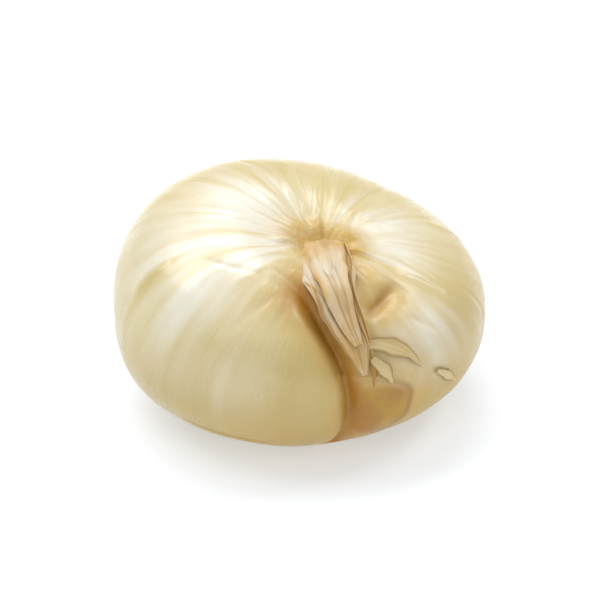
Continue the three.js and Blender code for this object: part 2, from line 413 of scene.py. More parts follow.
def even_lift(slope):
    """The lift whose point lies at this slope seen from the middle."""
    power = np.where(slope > 0, SHOULDER_SQUARENESS, KEEL_SQUARENESS)
    flat, steep = np.abs(np.cos(slope)), np.abs(np.sin(slope))
    ring = flat / (flat**power + steep**power) ** (1 / power)
    return np.sign(slope) * np.arccos(np.clip(ring ** (power / 2), 0, 1))


SKIN_STEPS = (440, 220)
bm = bmesh.new()
bmesh.ops.create_uvsphere(bm, u_segments=SKIN_STEPS[0], v_segments=SKIN_STEPS[1], radius=1)
ball = np.array([v.co for v in bm.verts])
turn = np.arctan2(ball[:, 1], ball[:, 0])
lift = even_lift(np.arcsin(np.clip(ball[:, 2], -1, 1)))
plain = smooth_skin(turn, lift)
height = fine_relief(plain) + hard_creases(plain) - large_dents(plain)
skin_points = to_scene(plain + outward(plain) * height[:, None], flat=True)
for vertex, point in zip(bm.verts, skin_points):
    vertex.co = point
onion_skin = finish_piece(bm, "onion_skin")
print("skin:", len(onion_skin.data.polygons), "faces")
print("height above the plain bulb, mm:", height.min().round(2), "to", height.max().round(2))

# %% [markdown]
# ## Where the skin is stained, and where shade and highlights are painted on it
#
# Colour on an onion also follows its shape: dry tan where the skin gathers at the neck, and one amber
# patch with a darker rim below the neck, where the outer skin has gone and the next one shows. Some
# colour is painted light: tan and brown as painted shade beside the cleft, under the neck and in the
# creases, and pale silvery streaks as painted highlights over the shoulders. Two olive patches lie on
# the left. How strong each of these is at each vertex is kept as an attribute of the mesh, and the
# material mixes its colours by these. One more attribute holds the growth directions, so that the
# veins can run from neck to root.

# %% Stains, painted shade and painted highlights as attributes
AMBER_SPOT = [294, -6]
AMBER_SIZE = 6.6

# Spots of one colour: the place in degrees, its size in millimetres and how strong it is.
TAN_SPOTS = [
    ([302, 4], 9.0, 0.6),
    ([305, 62], 7.0, 0.75),
    ([309, -10], 6.0, 0.85),
    ([328, -14], 7.0, 0.6),
    ([308, 51], 4.5, 0.9),
    ([316, 51], 4.5, 0.6),
    ([264, 69], 4.0, 0.75),
    ([253, -28], 9.0, 0.5),
    (ROOT_HOLLOW["middle"], 9.0, 0.8),
]
BARE_SPOTS = [([218, 79], 4.5, 0.8)]
# These pale spots are painted highlights, where the lamps shine on the skin.
PAINTED_HIGHLIGHT_SPOTS = [
    ([208, 52], 13.0, 1.0),
    ([180, 76], 11.0, 1.0),
    ([222, 70], 8.0, 1.1),
    ([2, 72], 9.0, 1.0),
    ([319, 30], 7.0, 0.9),
    ([234, 10], 9.0, 0.35),
]
OLIVE_SPOTS = [([186, 8], 12.0, 1.0), ([225, -16], 9.0, 0.7)]


def add_attribute(piece, name, values):
    kind = "FLOAT_VECTOR" if values.ndim == 2 else "FLOAT"
    attribute = piece.data.attributes.new(name, kind, "POINT")
    key = "vector" if values.ndim == 2 else "value"
    attribute.data.foreach_set(key, np.ascontiguousarray(values, np.float32).ravel())


def spotted(spots):
    """The strongest of the spots at each vertex of the skin."""
    return np.max([strength * bump(near_spot(plain, place), size) for place, size, strength in spots], axis=0)


cleft_away, cleft_along, cleft_side = near_line(plain, cleft_line)
crease_away, crease_along, _ = near_line(plain, crease_line)
bed_away, bed_along, _ = near_line(plain, bed_line)
left_of_cleft = cleft_side > 0
angle, from_neck, plain_height = growth_directions(plain)
foot = neck_foot_distance(plain)
mottle = wander(plain, 3.2, 2.2)

# The amber patch ends at the cleft, and fades out upwards.
amber_edge = near_spot(plain, AMBER_SPOT) + 1.1 * wander(plain, 4.5, 7.7)
right_of_cleft = np.where(left_of_cleft, bump(cleft_away, 0.5), 1.0)
high_up = ease(-1.0, 6.0, plain_height)
amber = (1 - ease(AMBER_SIZE - 1.2 - 4 * high_up, AMBER_SIZE + 0.6, amber_edge)) * right_of_cleft
amber_rim = bump(amber_edge - AMBER_SIZE, 0.6) * right_of_cleft * ease(6, 12, plain[:, 0])
amber_rim *= 1 - 0.8 * high_up

# Painted shade: the cleft is painted brown, widest by the neck and least on its left below it. So is the side
# crease.
stain_width = np.where(left_of_cleft, 2.0, 2.7) + 2.2 * (1 - ease(0.15, 0.45, cleft_along))
crease_shade = bump(cleft_away, stain_width) * ease(0.03, 0.16, cleft_along)
crease_shade *= 1 - 0.35 * ease(0.5, 0.6, cleft_along) * left_of_cleft
crease_shade = np.maximum(crease_shade, bump(cleft_away, 1.0) * ease(0.6, 0.8, cleft_along))
crease_shade = np.maximum(crease_shade, 0.75 * bump(crease_away, 1.1) * np.sin(np.pi * crease_along) ** 0.6)

# Tan gathers round the neck's foot and in spots. Beside the cleft and under the neck the same tan is painted
# shade.
tan = bump(np.clip(foot - 0.8, 0, None), 0.75)
tan = np.maximum(tan, 0.85 * bump(cleft_away, 4.4) * ease(0.0, 0.2, cleft_along))
tan = np.maximum(tan, 0.7 * bump(bed_away, 4.5) * ease(0.1, 0.5, bed_along))
tan = np.maximum(tan, spotted(TAN_SPOTS)) * (1 - spotted(BARE_SPOTS))

# Painted highlight: pale streaks round the neck, where the lamps shine on the shoulders.
streaks = round_the_neck(angle, 24, from_neck / 16, 2.6)
streaks = streaks + 0.6 * round_the_neck(angle, 50, from_neck / 10, 1.2)
painted_highlight = spotted(PAINTED_HIGHLIGHT_SPOTS) * (1 + 1.1 * streaks)
olive = spotted(OLIVE_SPOTS)

stains_and_painted_light = {
    "amber": amber,
    "amber_rim": amber_rim,
    "crease_shade": crease_shade * (1 + 0.15 * mottle),
    "tan": tan * (1 + 0.2 * mottle),
    "painted_highlight": painted_highlight,
    "olive": olive * (1 + 0.3 * mottle),
    "old_skin": old_skin_cover(plain),
}
stains_and_painted_light = {name: np.clip(strength, 0, 1) for name, strength in stains_and_painted_light.items()}
for name, strength in stains_and_painted_light.items():
    add_attribute(onion_skin, name, strength)
growth = np.stack([np.cos(angle), np.sin(angle), plain_height / 300], axis=-1)
add_attribute(onion_skin, "growth", growth)
print("stained share of the skin:", {name: round(float(s.mean()), 3) for name, s in stains_and_painted_light.items()})

# %% [markdown]
# ## Dried leaves
#
# The neck is a few leaf sheaths that dried, shrank and fell over. A dried leaf is a thin sheet that
# folds along its length. It could be a plane with a Solidify modifier, but the rolled edges would
# pinch. Here each one starts as a flat grid that is rolled into a thin closed tube, and the tube's
# section is drawn by following the leaf's slope from its left edge to its right: where the slope
# swings up and down the leaf is pleated, and where it keeps turning the edge rolls in.


# %% A grid rolled into a closed tube
SEAM_GAP = 0.0005 * MM


def rolled_grid(name, around_steps, along_steps, shape):
    """shape(around, along) gives points in mm and the attributes that the finish will read."""
    bm = bmesh.new()
    bmesh.ops.create_grid(bm, x_segments=around_steps, y_segments=along_steps, size=0.5)
    grid = np.array([v.co for v in bm.verts]) + 0.5
    points, leaf, fold_shade, edge = shape(grid[:, 0], grid[:, 1])
    leaf_layer = bm.verts.layers.float_vector.new("leaf")
    # This attribute holds how deep each point lies in a fold, which the finish paints as shade.
    fold_shade_layer = bm.verts.layers.float.new("fold_shade")
    edge_layer = bm.verts.layers.float.new("edge")
    for vertex, point, place, depth, rim in zip(bm.verts, to_scene(points), leaf, fold_shade, edge):
        vertex.co = point
        vertex[leaf_layer] = Vector(place)
        vertex[fold_shade_layer] = depth
        vertex[edge_layer] = rim
    # Only the border is merged, at the seam: pleats near a narrow tip crowd points that must stay apart.
    border = [v for v in bm.verts if v.is_boundary]
    bmesh.ops.remove_doubles(bm, verts=border, dist=SEAM_GAP)
    bmesh.ops.holes_fill(bm, edges=bm.edges, sides=0)
    bmesh.ops.recalc_face_normals(bm, faces=bm.faces)
    return finish_piece(bm, name)


def stations(values, t):
    """A value that follows a list of stations evenly spaced along a length, t from 0 to 1."""
    return np.interp(t, np.linspace(0, 1, len(values)), values)


def rows_at(rows, t):
    return np.stack([stations(rows[:, k], t) for k in range(3)], axis=-1)


def frame_along(route, across):
    """A smooth line along the route, its length, and the directions across it and up from it."""
    line = smooth_line(route, 120)
    length = np.linalg.norm(np.diff(line, axis=0), axis=1).sum()
    tangents = unit(np.gradient(line, axis=0))
    ways = unit(across - (across * tangents).sum(axis=1, keepdims=True) * tangents)
    return line, length, ways, np.cross(ways, tangents)


# %% A dried leaf
def leaf_shape(route, across, half_width, half_thickness, slope, lateral=80, dark_from=(0.4, 0.45)):
    """Returns a shape for rolled_grid. slope(s, t) is the leaf's slope in radians, s from -1 to 1.

    dark_from is how far out towards the edges, and how far along to the tip, it starts to darken.
    """
    line, length, ways, ups = frame_along(route, across)
    ups = ups * np.sign((ups * outward(line)).sum(axis=1))[len(line) // 2]

    def section(s, t):
        """Follows the slope from the middle of the leaf out to s, in many small steps."""
        steps = np.linspace(0, 1, lateral)[:, None] * s[None, :]
        slopes = slope(steps, t[None, :])
        stride = s / (lateral - 1)
        run = (np.cos(slopes).sum(axis=0) - 0.5 * (np.cos(slopes[0]) + np.cos(slopes[-1]))) * stride
        climb = (np.sin(slopes).sum(axis=0) - 0.5 * (np.sin(slopes[0]) + np.sin(slopes[-1]))) * stride
        return run, climb, slopes[-1]

    def shape(around, along):
        s = 1 - np.abs(1 - 2 * np.mod(around + 0.25, 1)) * 2
        top = np.where((around < 0.25) | (around > 0.75), 1.0, -1.0)
        run, climb, last_slope = section(s, along)
        width = half_width(along)
        thick = half_thickness(along) * np.sqrt(np.clip(1 - s**4, 0, 1)) * top
        sideways = run * width - np.sin(last_slope) * thick
        upwards = climb * width + np.cos(last_slope) * thick
        points = rows_at(line, along) + rows_at(ways, along) * sideways[:, None]
        points += rows_at(ups, along) * upwards[:, None]
        leaf = np.stack([s * width, along * length, 0.5 * top], axis=-1)
        # How fast the slope turns is the depth of a fold, which the finish paints as shade.
        turning = slope(s + 0.06, along) - slope(s - 0.06, along)
        edge_starts, tip_starts = dark_from
        edge = np.maximum(ease(edge_starts, 0.9, np.abs(s)), ease(tip_starts, tip_starts + 0.4, along))
        return points, leaf, np.clip(0.5 + turning * top, 0, 1), edge

    return shape


# %% [markdown]
# ## The withered neck
#
# A wrinkled core fills the neck, and three dried leaves lie over it: a broad outer sheath whose left
# edge turns up, an inner one with deep pleats on top, and a tightly rolled edge along the right. All
# follow the frame's neck closely: up out of the pit, over, and down along the skin.

# %% The neck's route
NECK_PLACES = [[284, 61], [286, 46], [289, 32], [290, 15]]
NECK_CLEARANCE = np.array([2.3, 1.9, 1.4, 0.5])
NECK_HALF_WIDTHS = [5.4, 5.0, 4.8, 4.3, 3.8, 3.1, 2.1, 0.5]
NECK_ACROSS = math.radians(16)
pit = above_skin([NECK_PIT["middle"]], 0)[0]
neck_across = np.array([math.cos(NECK_ACROSS), math.sin(NECK_ACROSS), 0])


def neck_route(raise_by, sideways=0.0, end=4):
    """A route close to the frame's neck, moved up and to the right, or cut short at its end."""
    foot_points = [pit + [0, 0.8, -2.6], pit + [0.1, -1.2, -0.3 + raise_by]]
    laid = above_skin(NECK_PLACES[:end], NECK_CLEARANCE[:end] + raise_by)
    return np.vstack([foot_points, laid]) + np.multiply.outer(sideways, neck_across)


# %% The core inside the sheaths
def tube_shape(route, across, half_width, half_thickness, wrinkle):
    """A wrinkled oval tube for rolled_grid, as broad and thick along the way as it is told."""
    line, length, ways, ups = frame_along(route, across)

    def shape(around, along):
        turn = 2 * np.pi * around
        folds = round_the_neck(turn, 10, 2.5 * along, 1.9)
        size = 1 + wrinkle * folds
        end = np.sqrt(np.clip(1 - along**8, 0, 1))
        broad = np.cos(turn) * half_width(along) * size * end
        thick = np.sin(turn) * half_thickness(along) * size * end
        points = rows_at(line, along) + rows_at(ways, along) * broad[:, None]
        points += rows_at(ups, along) * thick[:, None]
        leaf = np.stack([np.cos(turn) * 5, along * length, np.sin(turn) * 3], axis=-1)
        return points, leaf, np.clip(0.4 - 0.9 * folds, 0, 1), ease(0.5, 0.1, along)

    return shape


neck_core = rolled_grid(
    "neck_core",
    160,
    90,
    tube_shape(
        neck_route(-0.6, end=3),
        neck_across,
        lambda t: stations([5.6, 5.2, 4.6, 3.7, 2.9, 2.0], t),
        lambda t: stations([3.3, 2.7, 2.0, 1.4, 0.9, 0.5], t),
        0.09,
    ),
)


# %% The outer sheath
def outer_slope(s, t):
    """Two deep folds and some small ones, a raised left edge and a right edge that rolls in."""
    folds = 0.34 * np.sin(6.5 * s + 1.5 * np.sin(4 * t) + 0.6) + 0.16 * np.sin(13 * s + 7 * t)
    folds = folds + 0.12 * np.sin(23 * s - 11 * t + 3 * s * t)
    left_edge = -0.9 * ease(0.75, 1.0, -s)
    right_edge = 0.9 * ease(0.65, 1.0, s)
    return -0.55 * s * (1 - ease(0.2, 0.6, t)) + folds + left_edge + right_edge


def outer_half_width(t):
    return stations(NECK_HALF_WIDTHS, t) * (1 + 0.03 * np.sin(23 * t) + 0.02 * np.sin(61 * t))


outer_sheath = rolled_grid(
    "neck_outer_sheath",
    150,
    130,
    leaf_shape(
        neck_route(0.2, [0.0, 0.0, 0.0, -0.2, -0.2, 0.0]),
        neck_across,
        outer_half_width,
        lambda t: 0.24 - 0.12 * t,
        outer_slope,
    ),
)


# %% The inner sheath
def inner_slope(s, t):
    """Three rounded ridges along the leaf, with sharper valleys between them."""
    phase = 5.2 * s - 0.7 + 0.8 * t + 0.5 * np.sin(5 * t + 2 * s)
    ridges = 0.5 * np.sin(phase) + 0.22 * np.sin(2.3 * phase + 4 * t)
    ridges = ridges + 0.12 * np.sin(11 * s + 9 * t) + 0.06 * np.sin(21 * s - 13 * t)
    return -0.8 * s * (1 - ease(0.1, 0.6, t)) + ridges - 0.9 * ease(0.7, 1, s) + 0.9 * ease(0.7, 1, -s)


inner_sheath = rolled_grid(
    "neck_inner_sheath",
    150,
    120,
    leaf_shape(
        neck_route(1.0, [0.3, 0.225, 0.15, 0.075, 0.0], end=3),
        neck_across,
        lambda t: stations([4.6, 4.3, 4.0, 3.3, 2.7, 2.1, 0.9], t) * (1 + 0.04 * np.sin(29 * t)),
        lambda t: 0.22 - 0.1 * t,
        inner_slope,
    ),
)


# %% The rolled right edge
def rolled_slope(s, t):
    return 2.3 * s + 0.3 * np.sin(11 * t)


rolled_edge = rolled_grid(
    "neck_rolled_edge",
    90,
    120,
    leaf_shape(
        neck_route(0.5, [3.2, 4.0, 2.8, 2.6, 1.9], end=3),
        neck_across,
        lambda t: stations([1.4, 1.6, 1.6, 1.5, 1.2, 0.9, 0.4], t),
        lambda t: 0.17 - 0.06 * t,
        rolled_slope,
    ),
)

# %% [markdown]
# ## The collar
#
# Where the neck leaves the bulb, the skin climbs it a little way as a torn, puckered collar. It is a
# sheet bent round in a ring, so the same rolled grid makes it: its section goes up the outside and
# down the inside, and its length goes once round the neck and meets itself.


# %% The collar round the neck
def collar_shape(around, along):
    turn = 2 * np.pi * along
    ring = np.stack([np.cos(turn), np.sin(turn), 0 * turn], axis=-1)
    up = 1 - np.abs(1 - 2 * around)
    inside = np.where(around > 0.5, 1.0, 0.0)
    pucker = round_the_neck(turn, 13, 0.5 * up, 4.4)
    small = round_the_neck(turn, 34, 0.7 * up, 2.1)
    tall = 1.1 + 0.5 * np.cos(turn - math.radians(160)) + 0.6 * pucker
    reach = 0.97 - 0.10 * up**0.8 + 0.10 * pucker * up + 0.03 * small
    reach = reach - 0.035 * inside * np.sin(np.pi * np.clip(up, 0, 1)) ** 0.5
    foot_points = pit + ring * [NECK_FOOT[0] * 0.98, NECK_FOOT[1] * 0.98, 0] * reach[:, None]
    rise = -0.9 + (tall + 0.9) * up
    lean = np.array([0.12, -0.5, 0]) * (up**2)[:, None]
    points = foot_points + lean + np.array([0, 0, 1.0]) * rise[:, None]
    leaf = np.stack([5 * turn, rise, inside], axis=-1)
    return points, leaf, np.clip(0.5 - 0.9 * pucker, 0, 1), ease(0.5, 1.0, up)


neck_collar = rolled_grid("neck_collar", 60, 240, collar_shape)

# %% [markdown]
# ## Torn shreds
#
# Beside the end of the neck lie two shreds of the same leaf, dried flat onto the skin with their
# edges curled up, and further right a small loose flake. A narrow brown strand hangs from the neck's
# tip. They are dried leaves too, only short ones, so they use the same maker with their own slope.

# %% Shreds and a loose flake
SHREDS = {
    "upper_shred": {"places": [[291, 33], [300, 31], [308, 23], [312, 11]], "half_width": 1.45, "curl": 0.25},
    "lower_shred": {"places": [[294, 24], [298, 15], [300, 6]], "half_width": 1.25, "curl": 0.2},
    "loose_flake": {"places": [[318, 4], [322, 0], [327, -6], [329, -10]], "half_width": 0.9, "curl": 0.3},
    "brown_strand": {"places": [[292, 29], [294, 19], [293, 7]], "half_width": 0.5, "curl": 0.4},
}


def make_shred(name, places, half_width, curl):
    route = above_skin(places, [0.5] + [0.26] * (len(places) - 2) + [0.2])
    middle = len(route) // 2
    across = np.cross(route[-1] - route[0], outward(route[middle : middle + 1])[0])

    def taper(t):
        full = 0.06 + 0.94 * np.sin(np.pi * (0.12 + 0.86 * t)) ** 1.1
        return half_width * full * (1 + 0.12 * np.sin(13 * t + half_width) + 0.05 * np.sin(31 * t))

    def curled(s, t):
        return curl * s**3 * 2.2 + 0.14 * np.sin(4 * s + 5 * t) + 0.05 * np.sin(11 * s - 7 * t)

    dark_from = (0.6, 0.85)
    shape = leaf_shape(route, across, taper, lambda t: 0.05 + 0 * t, curled, lateral=40, dark_from=dark_from)
    return rolled_grid(name, 70, 80, shape)


shreds = [make_shred(name, **facts) for name, facts in SHREDS.items()]

# %% [markdown]
# ## Root button and roots
#
# The onion sits on its root end, so nobody sees it on the table, but it turns up when the onion is
# lifted. The button is a small spun disc with rings, and the dried roots are thin bent hairs that
# leave it sideways, all clear of the floor.

# %% Spin the button
PLATE_RADIUS = 3.6
PLATE_THICKNESS = 1.1
GAP = 0.3
root_end = above_skin([ROOT_HOLLOW["middle"]], 0)[0]
plate_face = root_end[2] - GAP - PLATE_THICKNESS

bm = bmesh.new()
rings = [(0, 0), (0.9, 0.06), (1.2, 0), (1.9, 0.05), (2.2, 0), (3.0, 0.2), (3.5, 0.6)]
profile = rings + [(PLATE_RADIUS, PLATE_THICKNESS), (3.5, 2 * PLATE_THICKNESS), (0, 2 * PLATE_THICKNESS)]
rim = [bm.verts.new((radius, 0, plate_face + rise)) for radius, rise in profile]
edges = [bm.edges.new(pair) for pair in zip(rim, rim[1:])]
bmesh.ops.spin(
    bm, geom=rim + edges, cent=(0, 0, 0), axis=(0, 0, 1), angle=2 * math.pi, steps=64, use_merge=True
)
bmesh.ops.remove_doubles(bm, verts=bm.verts, dist=0.004)
bmesh.ops.subdivide_edges(bm, edges=bm.edges, cuts=1, use_grid_fill=True)
rough = np.array([v.co for v in bm.verts])
rough[:, 2] += 0.12 * wander(rough, 0.7, 3.3)
for vertex, point in zip(bm.verts, to_scene(rough)):
    vertex.co = point
bmesh.ops.recalc_face_normals(bm, faces=bm.faces)
root_button = finish_piece(bm, "root_button")


# %% Grow the roots
def hair_shape(route, radius):
    line = smooth_line(route, 30)
    tangents = unit(np.gradient(line, axis=0))
    sides = unit(np.cross(tangents, [0.3, 0.2, 1.0]))
    others = np.cross(tangents, sides)

    def shape(around, along):
        size = radius * np.sqrt(np.clip(1 - along**3, 0, 1)) * (0.5 + 0.5 * ease(0, 0.1, along))
        at = along * (len(line) - 1)
        i = np.clip(at.astype(int), 0, len(line) - 2)
        f = (at - i)[:, None]
        centre = line[i] * (1 - f) + line[i + 1] * f
        turn = 2 * np.pi * around
        round_it = sides[i] * np.cos(turn)[:, None] + others[i] * np.sin(turn)[:, None]
        points = centre + round_it * size[:, None]
        leaf = np.stack([np.cos(turn) * size, along * 3, np.sin(turn) * size], axis=-1)
        return points, leaf, 0.4 + 0.3 * along, along

    return shape


def join(pieces, name):
    """One object from several, by adding their meshes into one bmesh."""
    bm = bmesh.new()
    for piece in pieces:
        bm.from_mesh(piece.data)
        bpy.data.objects.remove(piece)
    return finish_piece(bm, name)


ROOT_COUNT = 54
rng = np.random.default_rng(11)
hairs = []
for k in range(ROOT_COUNT):
    way = 2 * math.pi * k / ROOT_COUNT + rng.normal(0, 0.05)
    start, reach = rng.uniform(1.6, 3.3), rng.uniform(1.2, 2.6)
    drop = rng.uniform(0.25, 0.75)
    bend = rng.normal(0, 0.25)
    route = []
    for step in (0, 0.35, 0.7, 1.0):
        radius = start + reach * step
        turned = way + bend * step**2
        height = plate_face + 0.25 - drop * math.sin(2.4 * step)
        route.append([radius * math.cos(turned), radius * math.sin(turned), height])
    hairs.append(rolled_grid(f"hair_{k}", 7, 9, hair_shape(route, rng.uniform(0.12, 0.2))))
dry_roots = join(hairs, "dry_roots")
print("roots:", ROOT_COUNT, " lowest point, mm:", round(min(v.co.z for v in dry_roots.data.vertices) / MM, 2))

# %% Fibres along the neck
FIBRE_COUNT = 16
line = smooth_line(neck_route(0.75), 60)
last = len(line) - 1
fibres = []
for k in range(FIBRE_COUNT):
    start, length = rng.uniform(0.25, 0.72), rng.uniform(0.15, 0.3)
    i, j = int(start * last), min(int((start + length) * last), last)
    side = rng.uniform(-0.7, 0.7) * stations(NECK_HALF_WIDTHS, start)
    picked = line[[i, (2 * i + j) // 3, (i + 2 * j) // 3, j]] + neck_across * side
    picked[-1] += outward(picked[-1:])[0] * rng.uniform(-0.2, 0.5) + neck_across * rng.normal(0, 0.4)
    fibres.append(rolled_grid(f"fibre_{k}", 7, 12, hair_shape(picked, rng.uniform(0.06, 0.11))))
neck_fibres = join(fibres, "neck_fibres")

# %% [markdown]
# ## Finishes
#
# Each finish is a short node tree on the Principled shader. A small helper adds a node and wires
# its inputs, so that a material reads from top to bottom in the order that light would explain it:
# colour first, then roughness, then relief.


# %% Node helpers
def new_material(name):
    material = bpy.data.materials.new(name)
    material.use_nodes = True
    tree = material.node_tree
    shader = next(node for node in tree.nodes if node.type == "BSDF_PRINCIPLED")
    return material, tree, shader


def feed(tree, socket, value):
    """Links another node's output to a socket, or sets the socket to a plain value."""
    if isinstance(value, bpy.types.NodeSocket):
        tree.links.new(value, socket)
    else:
        socket.default_value = value


def add_node(tree, kind, settings=None, **inputs):
    """Adds a node and feeds its inputs, which are given by name, or as i0, i1 and so on by number."""
    node = tree.nodes.new(kind)
    for key, value in (settings or {}).items():
        setattr(node, key, value)
    for key, value in inputs.items():
        numbered = key[0] == "i" and key[1:].isdigit()
        feed(tree, node.inputs[int(key[1:]) if numbered else key], value)
    return node


def set_inputs(shader, values):
    for name, value in values.items():
        shader.inputs[name].default_value = value


def linear(value):
    return value / 255 / 12.92 if value <= 10 else ((value / 255 + 0.055) / 1.055) ** 2.4


def srgb(red, green, blue):
    """A colour as it looks, from 0 to 255, turned into the linear values that the shader takes."""
    return (linear(red), linear(green), linear(blue), 1.0)


def mixed(tree, factor, first, second):
    settings = {"data_type": "RGBA"}
    return add_node(tree, "ShaderNodeMix", settings, i0=factor, i6=first, i7=second).outputs[2]


def ranged(tree, value, low, high, to_low=0.0, to_high=1.0):
    """Stretches a value that runs from low to high onto another range, and clamps it there."""
    node = add_node(tree, "ShaderNodeMapRange", i0=value, i1=low, i2=high, i3=to_low, i4=to_high)
    return node.outputs[0]


def cloudy(tree, vector, scale, detail=3.0, roughness=0.5):
    return add_node(
        tree, "ShaderNodeTexNoise", Vector=vector, Scale=scale, Detail=detail, Roughness=roughness
    ).outputs["Fac"]


def calculated(tree, operation, *values):
    inputs = {f"i{k}": value for k, value in enumerate(values)}
    return add_node(tree, "ShaderNodeMath", {"operation": operation}, **inputs).outputs[0]


def times(tree, first, second):
    return calculated(tree, "MULTIPLY", first, second)


def attribute(tree, name, output="Fac"):
    return add_node(tree, "ShaderNodeAttribute", {"attribute_name": name}).outputs[output]


# %% [markdown]
# ### Papery skin
#
# The skin is a thin, pearly sheet over white flesh. Light goes a little way in, so it has some
# subsurface scattering, and the sheet itself shines. Its colour wanders between cream and straw,
# with faint veins, and is painted darker towards the floor as shade. The stains, the painted shade in
# the creases and the painted highlights lie over that.

# %% The papery skin
PAPER_VALUES = {
    "Subsurface Weight": 0.15,
    "Subsurface Radius": (0.8, 0.8, 0.4),
    "Subsurface Scale": 0.003,
    "Specular IOR Level": 0.55,
    "Coat Weight": 0.3,
    "Coat Roughness": 0.26,
}
paper, tree, shader = new_material("papery_skin")
here = add_node(tree, "ShaderNodeTexCoord").outputs["Object"]
along_growth = attribute(tree, "growth", "Vector")

cream_or_straw = ranged(tree, cloudy(tree, here, 70, 2.0), 0.35, 0.65)
colour = mixed(tree, cream_or_straw, srgb(217, 200, 146), srgb(205, 184, 120))
height_here = add_node(tree, "ShaderNodeSeparateXYZ", i0=here).outputs[2]
# Painted shade: the skin is mixed darker and browner towards the floor.
shade_near_floor = ranged(tree, height_here, 0.026, 0.001)
colour = mixed(tree, times(tree, shade_near_floor, 0.95), colour, srgb(156, 126, 42))
veins = ranged(tree, cloudy(tree, along_growth, 26, 4.0, 0.6), 0.40, 0.62)
colour = mixed(tree, times(tree, veins, 0.17), colour, srgb(192, 162, 98))
thin_veins = ranged(tree, cloudy(tree, along_growth, 70, 2.0), 0.56, 0.70)
colour = mixed(tree, times(tree, thin_veins, 0.2), colour, srgb(184, 152, 88))
# Painted highlight: pale silvery colour where the lamps shine.
colour = mixed(tree, times(tree, attribute(tree, "painted_highlight"), 0.85), colour, srgb(235, 232, 220))
colour = mixed(tree, times(tree, attribute(tree, "olive"), 0.6), colour, srgb(192, 176, 112))
old_colour = mixed(tree, thin_veins, srgb(196, 164, 100), srgb(172, 132, 70))
colour = mixed(tree, times(tree, attribute(tree, "old_skin"), 0.5), colour, old_colour)
blotches = cloudy(tree, here, 420, 3.0, 0.6)
# Tan skin, with painted shade beside the cleft and under the neck.
tan_and_shade_amount = times(tree, attribute(tree, "tan"), ranged(tree, blotches, 0.3, 0.6, 0.65, 1.0))
colour = mixed(tree, tan_and_shade_amount, colour, srgb(198, 160, 72))
amber_clouds = ranged(tree, cloudy(tree, here, 160, 3.0), 0.4, 0.6)
amber_colour = mixed(tree, amber_clouds, srgb(176, 134, 12), srgb(162, 110, 4))
colour = mixed(tree, attribute(tree, "amber"), colour, amber_colour)
colour = mixed(tree, times(tree, attribute(tree, "amber_rim"), 0.85), colour, srgb(154, 104, 8))
# Painted shade: brown in the cleft and the side crease.
crease_shade_amount = times(tree, attribute(tree, "crease_shade"), ranged(tree, blotches, 0.3, 0.6, 0.75, 1.0))
colour = mixed(tree, crease_shade_amount, colour, srgb(166, 112, 8))
tree.links.new(colour, shader.inputs["Base Color"])

gloss_patches = ranged(tree, cloudy(tree, along_growth, 9, 3.0), 0.35, 0.65, 0.24, 0.35)
dulled = calculated(tree, "MAXIMUM", tan_and_shade_amount, crease_shade_amount)
tree.links.new(mixed(tree, dulled, gloss_patches, (0.62, 0.62, 0.62, 1.0)), shader.inputs["Roughness"])
rib_relief = cloudy(tree, along_growth, 60, 3.0, 0.55)
crinkle = cloudy(tree, here, 900, 3.0, 0.6)
relief = add_node(tree, "ShaderNodeBump", Strength=0.15, Distance=0.0002, Height=rib_relief)
relief = add_node(
    tree, "ShaderNodeBump", Strength=0.15, Distance=0.0001, Height=crinkle, Normal=relief.outputs[0]
)
tree.links.new(relief.outputs[0], shader.inputs["Normal"])
set_inputs(shader, PAPER_VALUES)
onion_skin.data.materials.append(paper)

# %% [markdown]
# ### Dried leaf
#
# The sheaths have lost their shine. They are grey cream on their ridges and golden at their edges,
# and brown in their folds as painted shade. A pointiness input would find the folds for free, but only
# in this renderer, so the attributes that each leaf was made with, for the painted shade of its folds
# and for its edges, do it, and streaks of noise along the leaf break them up.

# %% The dried leaf and its darker kinds
LEAF_VALUES = {
    "Subsurface Weight": 0.1,
    "Subsurface Radius": (1.0, 0.7, 0.4),
    "Subsurface Scale": 0.0008,
}


def dried_leaf(name, ridge, fold_shade, edge):
    """The colours of the tops of the ridges, the painted shade at the bottoms of the folds, and the edges and
    the tip.
    """
    material, tree, shader = new_material(name)
    here = add_node(tree, "ShaderNodeTexCoord").outputs["Object"]
    stretched = add_node(
        tree, "ShaderNodeMapping", Vector=attribute(tree, "leaf", "Vector"), Scale=(1.0, 0.09, 1.0)
    ).outputs[0]
    fibres = cloudy(tree, stretched, 2.2, 3.0, 0.6)
    patches = cloudy(tree, here, 300, 3.0, 0.5)
    # Painted shade: the leaf is mixed towards its fold colour where it folds and along the fibres.
    fold_shade_amount = times(tree, attribute(tree, "fold_shade"), 0.75)
    depth = calculated(tree, "MULTIPLY_ADD", ranged(tree, fibres, 0.3, 0.7), 0.3, fold_shade_amount)
    edge_amount = times(tree, attribute(tree, "edge"), ranged(tree, patches, 0.35, 0.65, 0.5, 0.9))
    colour = mixed(tree, edge_amount, ridge, edge)
    colour = mixed(tree, ranged(tree, depth, 0.4, 1.0), colour, fold_shade)
    tree.links.new(colour, shader.inputs["Base Color"])
    tree.links.new(ranged(tree, fibres, 0.3, 0.7, 0.65, 0.45), shader.inputs["Roughness"])
    relief = add_node(tree, "ShaderNodeBump", Strength=0.4, Distance=0.0001, Height=fibres)
    tree.links.new(relief.outputs[0], shader.inputs["Normal"])
    set_inputs(shader, LEAF_VALUES)
    return material


